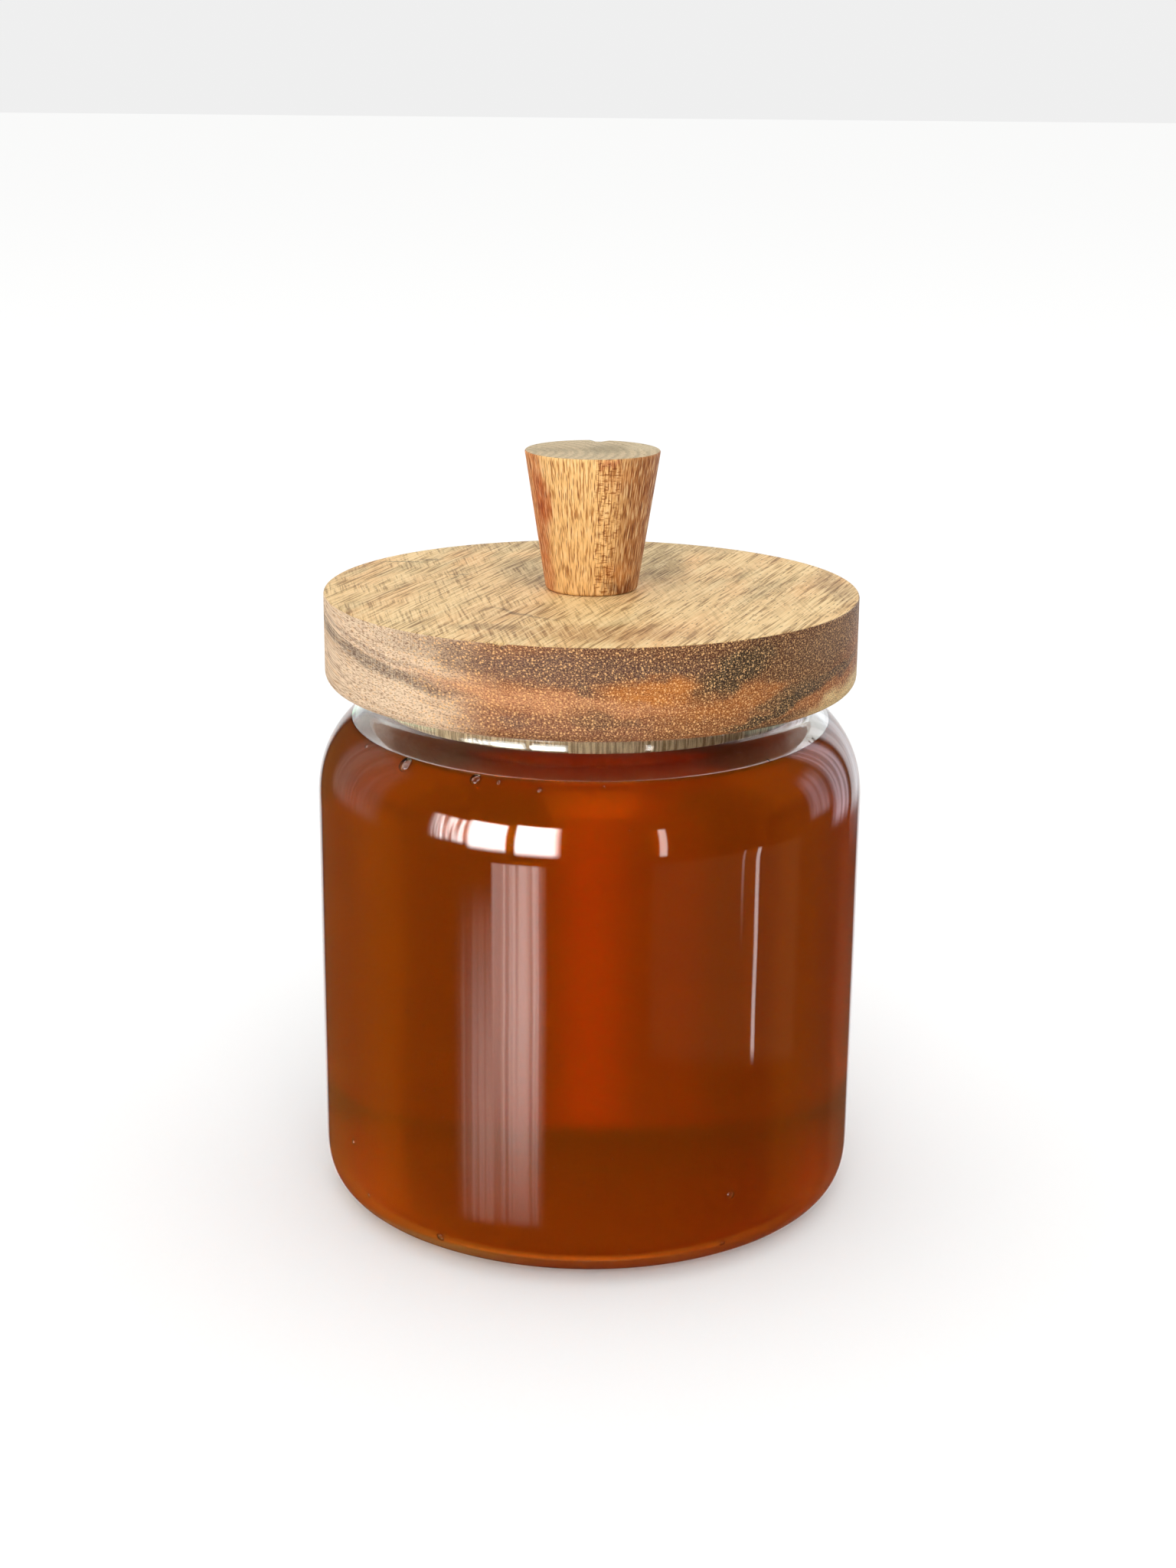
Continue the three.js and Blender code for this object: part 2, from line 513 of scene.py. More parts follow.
honey = {
    "intoWall": 0.5,
    "meniscusRise": 0.9,
    "meniscusReach": 3.2,
    "meniscusFall": 3.2,  # how fast the raised edge sinks to the level
    "meniscusSteps": 10,
    "density": 60.0,
    "absorb": (0.583, 0.25, 0.0),
    "body": (1.0, 0.19, 0.001),
    # Painted light: the colour turns brighter low down towards the sides
    "paintedSideGlow": (1.9, 0.42, 0.02),
    "paintedGlowFacing": (0.2, 0.27),
    "paintedGlowHeights": (44, 20),
    # Painted shade and light: the colour is darker towards the left and brighter towards the right
    "paintedLeftRightShade": (0.87, 1.12),  # at the left and at the right
    "paintedShadeEnds": (-34, 34),
    # Painted light: a thin bright line around the foot, stronger on the left
    "paintedFootGlow": (2.6, 1.25, 0.35),
    "paintedFootHeights": (4.2, 3.4),
    "paintedFootEnds": (-4, -30),
    "clearness": 0.88,
    "haze": 0.16,
    "ior": 1.49,
    "shine": 0.0,
    "speck": (1.0, 0.72, 0.42),
    "speckShare": 0.9,
    "speckSpacing": 3.6,
    "speckReach": 0.22,
}
honeyLevel = honeyHigh.z / millimetre


def honeyMaterial(spec):
    material, tree, shader, output = newMaterial("amberHoney")
    place = vectorMaths(tree, "SCALE", objectPlace(tree), 1 / millimetre)
    speck = cells(tree, place, 1 / spec["speckSpacing"]).outputs["Distance"]
    reach = spec["speckReach"] / spec["speckSpacing"]
    speckShare = spread(tree, speck, reach, reach * 0.4, 0, spec["speckShare"])
    colour = blend(tree, speckShare, spec["body"], spec["speck"])
    # Painted light: the colour glows brighter low down at the sides, and in a thin line at the foot
    x, _, z = parted(tree, place)
    sideOn = tree.nodes.new("ShaderNodeLayerWeight")
    paintedGlowSide = spread(tree, sideOn.outputs["Facing"], *spec["paintedGlowFacing"])
    paintedGlowShare = maths(tree, "MULTIPLY", paintedGlowSide, spread(tree, z, *spec["paintedGlowHeights"], 0.5, 1))
    colour = blend(tree, paintedGlowShare, colour, spec["paintedSideGlow"])
    # Painted shade and light: darker towards the left, brighter towards the right
    sideShade = spread(tree, x, *spec["paintedShadeEnds"], *spec["paintedLeftRightShade"])
    colour = vectorMaths(tree, "SCALE", colour, sideShade)
    # Painted light: the thin bright line at the foot, stronger on the left
    paintedFootLeft = spread(tree, x, *spec["paintedFootEnds"], 0.03, 1)
    paintedFootShare = maths(tree, "MULTIPLY", spread(tree, z, *spec["paintedFootHeights"]), paintedFootLeft)
    colour = blend(tree, paintedFootShare, colour, spec["paintedFootGlow"])
    tree.links.new(colour, shader.inputs["Base Color"])
    shader.inputs["Transmission Weight"].default_value = spec["clearness"]
    shader.inputs["Roughness"].default_value = spec["haze"]
    shader.inputs["IOR"].default_value = spec["ior"]
    shader.inputs["Specular Tint"].default_value = (spec["shine"],) * 3 + (1,)
    volume = tree.nodes.new("ShaderNodeVolumeAbsorption")
    volume.inputs["Color"].default_value = (*spec["absorb"], 1)
    volume.inputs["Density"].default_value = spec["density"]
    tree.links.new(volume.outputs[0], output.inputs["Volume"])
    return material


def makeHoney(spec):
    outside = glassOutside(glass)
    inside = [inset(ring, -spec["intoWall"], glass) for ring in outside]
    rings = []
    for ring in inside[1:]:
        if ring[1] > honeyLevel + spec["meniscusRise"]:
            break
        rings.append(ring)
    edge = rings[-1][0]
    steps = spec["meniscusSteps"]
    for i in range(1, steps + 1):
        rise = spec["meniscusRise"] * math.exp(-spec["meniscusFall"] * i / steps)
        rings.append((edge - spec["meniscusReach"] * i / steps, honeyLevel + rise))
    inner, level = rings[-1]
    rings += [(inner * (1 - i / steps), level) for i in range(1, steps)]
    piece = pullRings("honeyFill", rings, glass["sides"])
    piece.data.materials.append(honeyMaterial(spec))
    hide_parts("honey")
    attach(piece, "root")


makeHoney(honey)
report("honey poured")


# Lid

lid = {
    "plugRings": (6.0, 20.0),
    "plugRadius": 35.8,
    "plugBevel": 0.5,
    "plugBevelSteps": 3,
    "creaseRise": 0.4,
    "creaseOut": 0.15,
    "underside": 93.6,
    "undersideRing": 40.0,
    "bottomRound": 2.1,
    "bottomSteps": 7,
    "sideSteps": 16,
    "topBevel": 0.4,
    "topBevelSteps": 4,
    "topRings": (45.4, 44.4, 42.0, 36.0, 28.0, 20.0, 12.0, 5.0),
    "sides": 240,
    "fibreBearing": 19.0,  # degrees that the fibres point to the right of the front
    "fibreFall": 7.5,
    "dent": (-17.4, 0.55, 1.3),  # bearing in degrees, depth and reach
    "nick": (-15.6, 0.3, 0.5),
    "nickBelowTop": (1.4, 0.6),
}
discRadius = discHigh.x / millimetre
discTop = discHigh.z / millimetre
plugBottom = discLow.z / millimetre


def lidRings(spec):
    plugRadius, bevel, underside = spec["plugRadius"], spec["plugBevel"], spec["underside"]
    rings = [(radius, plugBottom) for radius in spec["plugRings"]]
    rings += roundCorner((plugRadius - bevel, plugBottom + bevel), bevel, -90, 0, spec["plugBevelSteps"])
    rings += [(plugRadius, underside - spec["creaseRise"]), (plugRadius + spec["creaseOut"], underside)]
    rings += [(spec["undersideRing"], underside)]
    turn = spec["bottomRound"]
    rings += roundCorner((discRadius - turn, underside + turn), turn, -90, 0, spec["bottomSteps"])
    low, high = underside + turn, discTop - spec["topBevel"]
    steps = spec["sideSteps"]
    rings += [(discRadius, low + (high - low) * i / steps) for i in range(1, steps)]
    bevel = spec["topBevel"]
    rings += roundCorner((discRadius - bevel, discTop - bevel), bevel, 0, 90, spec["topBevelSteps"])
    rings += [(radius, discTop) for radius in spec["topRings"]]
    return rings


def pushIn(piece, point, move, reach):
    # Presses a small hollow into the surface, as far around the point as its reach in millimetres
    nothingSelected()
    bpy.context.view_layer.objects.active = piece
    piece.select_set(True)
    bpy.ops.object.mode_set(mode="EDIT")
    bpy.ops.mesh.select_mode(type="VERT")
    bpy.ops.mesh.select_all(action="DESELECT")
    bpy.ops.object.mode_set(mode="OBJECT")
    nearest = min(piece.data.vertices, key=lambda vertex: (vertex.co - point).length)
    nearest.select = True
    bpy.ops.object.mode_set(mode="EDIT")
    bpy.ops.transform.translate(
        value=move,
        use_proportional_edit=True,
        use_proportional_connected=True,
        proportional_edit_falloff="SMOOTH",
        proportional_size=reach * millimetre,
    )
    bpy.ops.object.mode_set(mode="OBJECT")


def makeLid(spec):
    piece = pullRings("woodenLid", lidRings(spec), spec["sides"])
    bearing, depth, reach = spec["dent"]
    press = aroundPoint(bearing, -depth, -depth)
    pushIn(piece, aroundPoint(bearing, discRadius, discTop), press, reach)
    bearing, depth, reach = spec["nick"]
    press = aroundPoint(bearing, -depth, 0)
    for below in spec["nickBelowTop"]:
        pushIn(piece, aroundPoint(bearing, discRadius, discTop - below), press, reach)
    bpy.ops.object.shade_smooth_by_angle(angle=creaseAngle)
    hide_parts("lid_disc")
    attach(piece, "root")
    return piece


lidFinish = {
    "cream": "e6c8a6",
    "heart": "a05c28",
    "endGrain": (0.42, 0.7),  # how squarely fibres must point outwards for their ends to show
    "dot": "f2bd7c",
    "dotShare": 0.74,
    "poreSpacing": (0.58, 0.58),
    "poreRadius": (0.17, 0.37),  # shares of the spacing
    "swaySize": (3, 14, 3),
    "threadSize": (0.28, 0.2),
    "threadBend": (0, 1 / 5, 0),
    "darkThread": (0.46, 0.33, 0.26),
    "layerSize": (5, 30, 0.7),
    "darkLayer": (0.5, 0.36, 0.28),
    "paleLine": "f6dfbd",
    "sanded": "f3dcb8",
    "sandingSize": (0.22, 0.22, 3),
    # Painted shade: the side darkens towards the right
    "creamEnds": (-37, -27),
    "shadedRightEnds": (-4, 14),
    "paintedRightShade": (0.72, 0.68, 0.64),
    "warpSize": (4.5, 40, 2.6),
    "warpReach": (9, 0, 4.5),
    "sideStains": [
        ((-21, 104.6), (20, 2.2), 0, "c4855a", 0.8),
        ((-16, 100.2), (19, 3.4), 0, "825036", 0.85),
        ((17, 99.2), (8, 1.3), 8, "53361f", 0.85),
        ((6, 113.3), (42, 5.2), 0, "60351c", 0.95),
        ((-16, 109.8), (26, 3.4), 0, "5e3d30", 0.9),
        ((-15, 103.6), (6, 1.8), 0, "9a6238", 0.55),
        ((-5, 107.4), (8, 2.6), 0, "bc6d20", 0.9),
        ((-16.6, 107.1), (2.2, 1.3), 0, "57392a", 0.7),
        ((-26, 101.1), (2.6, 1.0), 0, "6b4a3a", 0.6),
        ((-13, 102.4), (5.5, 1.5), 0, "6b452c", 0.75),
        ((4, 101.5), (12, 2.6), 4, "8d5628", 0.6),
        ((24, 107.5), (14, 4.5), 0, "5c381f", 0.9),
        ((8.5, 109.4), (9.0, 3.2), 18, "352718", 0.95),
        ((9.5, 104.3), (8.5, 1.9), 8, "ac6526", 0.95),
        ((20, 103.2), (8.0, 2.0), 8, "5a4128", 0.85),
        ((32, 110.0), (11, 4.6), 0, "755640", 0.8),
        ((34, 98.3), (12, 2.8), 0, "dcc48f", 1.0),
        ((12, 100.4), (6, 0.9), 6, "2f2a1e", 0.9),
        ((20, 102.2), (6, 1.2), 18, "33291d", 0.9),
        ((30, 103.7), (10, 1.2), 0, "43352a", 0.85),
        ((-42, 103.7), (12, 1.15), 0, "7a6353", 0.8),
        ((-43, 106.0), (6, 0.6), 0, "a98b76", 0.6),
    ],
    "top": "e2c088",
    "topWarm": "e0b37a",
    "topGrey": "b29a6c",
    "cloudTurn": -72,
    "cloudSize": (30, 9, 1),
    "cloudReach": 9,
    "greySize": (26, 5, 1),
    "scratchTurn": -70,
    "scratchSize": (10, 0.36, 1),
    "scratchDark": (0.45, 0.36, 0.25),
    "scratchPale": "f4dcaa",
    "crossTurn": -99,
    "crossSize": (9, 0.4, 1),
    "crossDark": (0.48, 0.39, 0.28),
    "crossPale": "f2d8a4",
    "patchSize": (8, 8, 1),
    "dashScale": (1 / 3.4, 1 / 0.7, 0),
    "dashDark": (0.34, 0.26, 0.18),
    "plugDark": "8f7654",
    "plugPale": "dcbf96",
    "plugMarks": (70, 0.12),  # turning marks around and along it
    "topStainsAndShade": [
        # The first two are the knob's soft shadow, painted on the top to its left and right behind it; the
        # rest are stains
        ((-11, 12), (6, 16), 15, "ab9367", 0.7),
        ((13, 22), (6, 22), 0, "a38a5c", 0.75),
        ((0, 40), (40, 9), 0, "b3986b", 0.6),
        ((-12, -22), (9, 9), 0, "c39a68", 0.5),
        ((2, -36), (20, 7), 0, "bd8f5c", 0.7),
        ((-30, 26), (3.2, 0.9), 10, "87704a", 0.6),
        ((-34.5, 23), (3.4, 0.6), 5, "7e6a48", 0.7),
        ((-24, 11), (2.4, 0.5), 0, "8d724b", 0.6),
        ((-12, -22.5), (7.5, 0.7), -42, "7d5c38", 0.7),
        ((-17, -33), (7, 2.4), 0, "97744a", 0.6),
        ((43, 2), (3.5, 16), 0, "ad8a5e", 0.7),
    ],
    "shine": 0.3,
    "roughness": 0.58,
    "roughSwing": 0.18,
    "reliefStrength": 0.5,
    "reliefDepth": 0.00018,  # in metres
}


def lidMaterial(spec, shape):
    material, tree, shader, _ = newMaterial("acaciaLid")
    coordinates = tree.nodes.new("ShaderNodeTexCoord")
    place = vectorMaths(tree, "SCALE", coordinates.outputs["Object"], 1 / millimetre)
    facing = coordinates.outputs["Normal"]
    bearing, fall = shape["fibreBearing"], shape["fibreFall"]
    grain = turned(tree, turned(tree, place, "Z", -bearing), "X", -fall)
    turn, drop = math.radians(bearing), math.radians(fall)
    fibre = (math.sin(turn) * math.cos(drop), -math.cos(turn) * math.cos(drop), -math.sin(drop))
    endOn = maths(tree, "ABSOLUTE", vectorMaths(tree, "DOT_PRODUCT", facing, fibre))
    endMask = spread(tree, endOn, *spec["endGrain"])

    # Pores run along the fibre, so they show as dots at its ends and as streaks beside it
    sway = grained(tree, grain, spec["swaySize"], 1).outputs["Color"]
    swaying = vectorMaths(tree, "MULTIPLY_ADD", sway, (0.5, 0, 0.9), grain)
    beside, _, upright = parted(tree, swaying)
    pores = cells(tree, flatCounted(tree, beside, upright, spec["poreSpacing"]), 1, "2D")
    chance = parted(tree, pores.outputs["Color"])
    size = spread(tree, chance[0], 0.1, 1, *spec["poreRadius"], smooth=False)
    dots = spread(tree, maths(tree, "DIVIDE", pores.outputs["Distance"], size), 1.0, 0.5)
    dots = maths(tree, "MULTIPLY", dots, spread(tree, chance[1], 0.12, 0.3))
    fine = flatCounted(tree, beside, upright, spec["threadSize"])
    bending = vectorMaths(tree, "MULTIPLY_ADD", grain, spec["threadBend"], fine)
    threads = noise(tree, bending, 1, 2, 0.6).outputs[0]
    layers = grained(tree, grain, spec["layerSize"], 3, 0.6).outputs[0]

    # Side colours, laid out across the fibres
    warp = centred(tree, grained(tree, grain, spec["warpSize"], 4, 0.6).outputs["Color"])
    shift = vectorMaths(tree, "MULTIPLY", warp, spec["warpReach"])
    bentAcross, _, bentUp = parted(tree, vectorMaths(tree, "ADD", grain, shift))
    across = flat(tree, bentAcross, bentUp)
    heartShare = spread(tree, bentAcross, *spec["creamEnds"])
    side = blend(tree, heartShare, tone(spec["cream"]), tone(spec["heart"]))
    for patch in spec["sideStains"]:
        side = stain(tree, across, side, patch)
    # Painted shade: the side is darker towards the right
    paintedShadeShare = spread(tree, bentAcross, *spec["shadedRightEnds"], 0, 0.75)
    side = blend(tree, paintedShadeShare, side, spec["paintedRightShade"], "MULTIPLY")
    side = blend(tree, spread(tree, layers, 0.46, 0.62, 0, 0.4), side, spec["darkLayer"], "MULTIPLY")
    side = blend(tree, spread(tree, threads, 0.5, 0.62, 0, 0.9), side, spec["darkThread"], "MULTIPLY")
    paleLine = blend(tree, endMask, tone(spec["paleLine"]), tone(spec["dot"]))
    side = blend(tree, spread(tree, threads, 0.5, 0.36, 0, 0.4), side, paleLine)
    # Upright sanding marks on the pale flank
    sanding = grained(tree, place, spec["sandingSize"], 1).outputs[0]
    flank = spread(tree, endMask, 1, 0.2, 0.1, 1)
    sandShare = maths(tree, "MULTIPLY", spread(tree, sanding, 0.54, 0.7, 0, 0.4), flank)
    side = blend(tree, sandShare, side, tone(spec["sanded"]))
    dotShare = maths(tree, "MULTIPLY", dots, spread(tree, endMask, 0, 1, 0.3, spec["dotShare"]))
    dotShare = maths(tree, "MULTIPLY", dotShare, spread(tree, bentAcross, 0, 22, 1, 0.6))
    side = blend(tree, dotShare, side, tone(spec["dot"]))

    # Top colours
    x, y, z = parted(tree, place)
    cloudy = turned(tree, place, "Z", spec["cloudTurn"])
    cloud = grained(tree, cloudy, spec["cloudSize"], 3)
    topShift = vectorMaths(tree, "SCALE", centred(tree, cloud.outputs["Color"]), spec["cloudReach"])
    topPlace = vectorMaths(tree, "MULTIPLY", vectorMaths(tree, "ADD", place, topShift), (1, 1, 0))
    warmShare = spread(tree, cloud.outputs[0], 0.4, 0.7)
    top = blend(tree, warmShare, tone(spec["top"]), tone(spec["topWarm"]))
    greyer = grained(tree, cloudy, spec["greySize"]).outputs[0]
    top = blend(tree, spread(tree, greyer, 0.5, 0.75, 0, 0.6), top, tone(spec["topGrey"]))
    # Stains, and the knob's painted shadow
    for patch in spec["topStainsAndShade"]:
        top = stain(tree, topPlace, top, patch)
    # Sanding scratches cross each other, and the left half has more of them
    lines = turned(tree, place, "Z", spec["scratchTurn"])
    scratches = grained(tree, lines, spec["scratchSize"], 2, 0.55).outputs[0]
    crossed = turned(tree, place, "Z", spec["crossTurn"])
    crossing = grained(tree, crossed, spec["crossSize"], 2, 0.55).outputs[0]
    patchy = grained(tree, place, spec["patchSize"]).outputs[0]
    towardsLeft = spread(tree, x, 14, -12, 0.35, 1)
    leftSide = maths(tree, "MULTIPLY", towardsLeft, spread(tree, patchy, 0.6, 0.42, 0.15, 1))
    inPatches = spread(tree, patchy, 0.35, 0.6, 0.25, 1)
    darkLines = maths(tree, "MULTIPLY", spread(tree, scratches, 0.5, 0.64), inPatches)
    darkCrossing = maths(tree, "MULTIPLY", spread(tree, crossing, 0.52, 0.66, 0, 0.9), leftSide)
    paleLines = spread(tree, scratches, 0.48, 0.36, 0, 0.45)
    paleCrossing = maths(tree, "MULTIPLY", spread(tree, crossing, 0.48, 0.38, 0, 0.35), leftSide)
    top = blend(tree, darkLines, top, spec["scratchDark"], "MULTIPLY")
    top = blend(tree, darkCrossing, top, spec["crossDark"], "MULTIPLY")
    top = blend(tree, paleLines, top, tone(spec["scratchPale"]))
    top = blend(tree, paleCrossing, top, tone(spec["crossPale"]))
    dashes = cells(tree, vectorMaths(tree, "MULTIPLY", lines, spec["dashScale"]), 1, "2D")
    dashRise = spread(tree, parted(tree, dashes.outputs["Color"])[0], 0.45, 0.8)
    dashShare = maths(tree, "MULTIPLY", spread(tree, dashes.outputs["Distance"], 0.22, 0.08), dashRise)
    dashShare = maths(tree, "MULTIPLY", dashShare, spread(tree, x, -6, 20, 0.3, 0.9))
    top = blend(tree, dashShare, top, spec["dashDark"], "MULTIPLY")

    # The plug under the disc, and where it all meets
    around, along = spec["plugMarks"]
    angle = maths(tree, "MULTIPLY", maths(tree, "ARCTAN2", y, x), around)
    marks = noise(tree, flat(tree, angle, maths(tree, "MULTIPLY", z, along)), 1, 2, 0.6).outputs[0]
    plugWood = blend(tree, spread(tree, marks, 0.42, 0.6), tone(spec["plugDark"]), tone(spec["plugPale"]))
    underside = shape["underside"]
    side = blend(tree, spread(tree, z, underside + 0.02, underside - 0.25, 0, 0.8), side, plugWood)
    upMask = spread(tree, parted(tree, facing)[2], 0.55, 0.9)
    colour = blend(tree, upMask, side, top)
    tree.links.new(colour, shader.inputs["Base Color"])
    swing = spec["roughSwing"]
    rough = maths(tree, "MULTIPLY_ADD", threads, swing, spec["roughness"] - swing / 2)
    tree.links.new(rough, shader.inputs["Roughness"])
    shader.inputs["Specular IOR Level"].default_value = spec["shine"]
    sideRelief = maths(tree, "MULTIPLY_ADD", dots, -0.4, threads)
    topRelief = maths(tree, "ADD", scratches, maths(tree, "MULTIPLY", crossing, leftSide))
    gap = maths(tree, "SUBTRACT", topRelief, sideRelief)
    relief = maths(tree, "MULTIPLY_ADD", gap, upMask, sideRelief)
    raised = bump(tree, relief, spec["reliefStrength"], spec["reliefDepth"])
    tree.links.new(raised, shader.inputs["Normal"])
    return material


woodenLid = makeLid(lid)
woodenLid.data.materials.append(lidMaterial(lidFinish, lid))
report("lid turned")


# Knob

knob = {
    "liftOffLid": 0.03,
    "footRing": 3.0,
    "footRadius": 8.05,
    "footRound": 0.8,
    "footSteps": 6,
    "sideSteps": 16,
    "topRadius": 11.65,
    "topBevel": 0.3,
    "topBevelSteps": 4,
    "topRings": (10.8, 9.5, 6.5, 3.0),
    "sides": 120,
    "chip": (175.0, 0.5, 1.7),  # bearing in degrees, depth and reach
}
knobTop = knobHigh.z / millimetre


def makeKnob(spec):
    foot = discTop + spec["liftOffLid"]
    slope = math.degrees(math.atan2(spec["topRadius"] - spec["footRadius"], knobTop - foot))
    turn, bevel = spec["footRound"], spec["topBevel"]
    rings = [(spec["footRing"], foot)]
    rings += roundCorner((spec["footRadius"] - turn, foot + turn), turn, -90, -slope, spec["footSteps"])
    lowRadius, low = rings[-1]
    rimRadius, rim = spec["topRadius"], knobTop - bevel
    steps = spec["sideSteps"]
    for i in range(1, steps):
        rings.append((lowRadius + (rimRadius - lowRadius) * i / steps, low + (rim - low) * i / steps))
    rings += roundCorner((rimRadius - bevel, rim), bevel, 0, 90, spec["topBevelSteps"])
    rings += [(radius, knobTop) for radius in spec["topRings"]]
    piece = pullRings("woodenKnob", rings, spec["sides"])
    bearing, depth, reach = spec["chip"]
    press = aroundPoint(bearing, -depth, -depth)
    pushIn(piece, aroundPoint(bearing, rimRadius, knobTop), press, reach)
    bpy.ops.object.shade_smooth_by_angle(angle=creaseAngle)
    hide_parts("lid_knob")
    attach(piece, "root")
    return piece


knobFinish = {
    "girth": 10,  # radius on which the arc is counted
    "gold": "f0c07c",
    "left": "d98d50",
    "leftEnds": (-10.8, -7.4),
    # Brown wood towards the right, partly painted shade
    "right": "a96e3a",
    "shadedRightEnds": (1.5, 8.0),
    "warpSize": (2.2, 2.2, 6),
    "threadSize": (0.25, 3.6),
    "darkThread": (0.47, 0.29, 0.15),
    "paleThread": "ffe2ac",
    "poreSize": (0.36, 2.9),
    "darkPore": (0.36, 0.17, 0.07),
    "fleckSize": (1.3, 1.3, 0.3),
    "darkFleck": (0.45, 0.24, 0.1),
    "stainsAndShade": [  # around the knob as an arc from the front, and by height
        ((-9.5, 126.0), (2.4, 5.5), 8, "bf5f26", 0.85),
        ((-11.5, 119), (2.5, 5.0), 0, "c26a33", 0.6),
        ((-10.5, 112.5), (2.2, 2.6), 0, "d08a52", 0.5),
        ((2.8, 132.6), (2.0, 0.9), 0, "c06a3a", 0.7),
        # A dark line in the wood at the foot, right of the front, that also paints the contact shadow
        # there
        ((6.5, 110.6), (4.5, 0.7), 0, "7a4420", 0.6),
        ((6.0, 113.5), (4.0, 2.0), 0, "cc8746", 0.6),
        ((4.5, 129.5), (3.5, 3.0), 0, "d08c4e", 0.45),
        ((6.0, 128), (0.9, 2.0), 0, "9a6235", 0.5),
    ],
    "top": "cdb68f",
    "ringMiddle": (-15, -4, 0),
    "ringPace": 3.6,
    "ringColour": "857659",
    "mottleSize": (0.5, 0.5, 0.5),
    "darkMottle": (0.45, 0.4, 0.3),
    "topStainsAndShade": [
        ((2.5, 0.5), (4.2, 6.0), -20, "a08f6c", 0.7),
        ((8.5, 2.5), (3.0, 4.5), 10, "cdbb97", 0.7),
        ((-7, -1), (4.5, 3.0), 0, "a99776", 0.6),
        # Painted shade in the hollow of the chip at the back edge
        ((1.0, 11.3), (1.9, 0.8), 0, "4a3d2d", 0.9),
    ],
    "shine": 0.3,
    "roughness": 0.55,
    "roughSwing": 0.2,
    "reliefStrength": 0.5,
    "reliefDepth": 0.00018,  # in metres
}


def knobMaterial(spec):
    material, tree, shader, _ = newMaterial("acaciaKnob")
    coordinates = tree.nodes.new("ShaderNodeTexCoord")
    place = vectorMaths(tree, "SCALE", coordinates.outputs["Object"], 1 / millimetre)
    x, y, z = parted(tree, place)
    facing = coordinates.outputs["Normal"]
    arc = maths(tree, "MULTIPLY", frontBearing(tree, x, y), spec["girth"])
    warp = grained(tree, place, spec["warpSize"], 3, 0.6).outputs["Color"]
    sideways, upwards, _ = parted(tree, centred(tree, warp))
    stainArc = maths(tree, "MULTIPLY_ADD", sideways, 4, arc)
    around = flat(tree, stainArc, maths(tree, "MULTIPLY_ADD", upwards, 7, z))
    bentArc = maths(tree, "MULTIPLY_ADD", sideways, 2.5, arc)
    goldShare = spread(tree, bentArc, *spec["leftEnds"])
    side = blend(tree, goldShare, tone(spec["left"]), tone(spec["gold"]))
    # Towards the right the wood turns brown, and this brown is partly painted shade
    side = blend(tree, spread(tree, bentArc, *spec["shadedRightEnds"]), side, tone(spec["right"]))
    for patch in spec["stainsAndShade"]:
        side = stain(tree, around, side, patch)
    strokes = flatCounted(tree, arc, z, spec["threadSize"])
    threads = noise(tree, strokes, 1, 2, 0.6).outputs[0]
    side = blend(tree, spread(tree, threads, 0.5, 0.61, 0, 0.9), side, spec["darkThread"], "MULTIPLY")
    side = blend(tree, spread(tree, threads, 0.48, 0.36, 0, 0.45), side, tone(spec["paleThread"]))
    pores = cells(tree, flatCounted(tree, arc, z, spec["poreSize"]), 1, "2D")
    chance = spread(tree, parted(tree, pores.outputs["Color"])[0], 0.3, 0.7, 0, 0.85)
    poreShare = maths(tree, "MULTIPLY", spread(tree, pores.outputs["Distance"], 0.32, 0.12), chance)
    side = blend(tree, poreShare, side, spec["darkPore"], "MULTIPLY")
    # Short level flecks in one column of the front
    flecks = grained(tree, place, spec["fleckSize"], 2, 0.6).outputs[0]
    column = maths(tree, "MULTIPLY", spread(tree, bentArc, 0.2, 1.2), spread(tree, bentArc, 5.2, 4))
    fleckShare = maths(tree, "MULTIPLY", spread(tree, flecks, 0.52, 0.62, 0, 0.85), column)
    side = blend(tree, fleckShare, side, spec["darkFleck"], "MULTIPLY")

    # Growth rings across the top
    mottle = grained(tree, place, spec["mottleSize"], 3, 0.7).outputs[0]
    ringPlace = vectorMaths(tree, "SUBTRACT", place, spec["ringMiddle"])
    reach = vectorMaths(tree, "LENGTH", vectorMaths(tree, "MULTIPLY", ringPlace, (1, 1, 0)))
    wave = maths(tree, "MULTIPLY_ADD", mottle, 3, maths(tree, "MULTIPLY", reach, spec["ringPace"]))
    ringShare = spread(tree, maths(tree, "SINE", wave), -0.6, 1, 0, 0.35)
    end = blend(tree, ringShare, tone(spec["top"]), tone(spec["ringColour"]))
    topPlace = vectorMaths(tree, "MULTIPLY", place, (1, 1, 0))
    for patch in spec["topStainsAndShade"]:
        end = stain(tree, topPlace, end, patch)
    end = blend(tree, spread(tree, mottle, 0.45, 0.7, 0, 0.8), end, spec["darkMottle"], "MULTIPLY")
    upMask = spread(tree, parted(tree, facing)[2], 0.6, 0.95)
    tree.links.new(blend(tree, upMask, side, end), shader.inputs["Base Color"])
    swing = spec["roughSwing"]
    rough = maths(tree, "MULTIPLY_ADD", threads, swing, spec["roughness"] - swing / 2)
    tree.links.new(rough, shader.inputs["Roughness"])
    shader.inputs["Specular IOR Level"].default_value = spec["shine"]
    relief = maths(tree, "SUBTRACT", threads, poreShare)
    raised = bump(tree, relief, spec["reliefStrength"], spec["reliefDepth"])
    tree.links.new(raised, shader.inputs["Normal"])
    return material


woodenKnob = makeKnob(knob)
woodenKnob.data.materials.append(knobMaterial(knobFinish))
report("knob turned")


# Studio

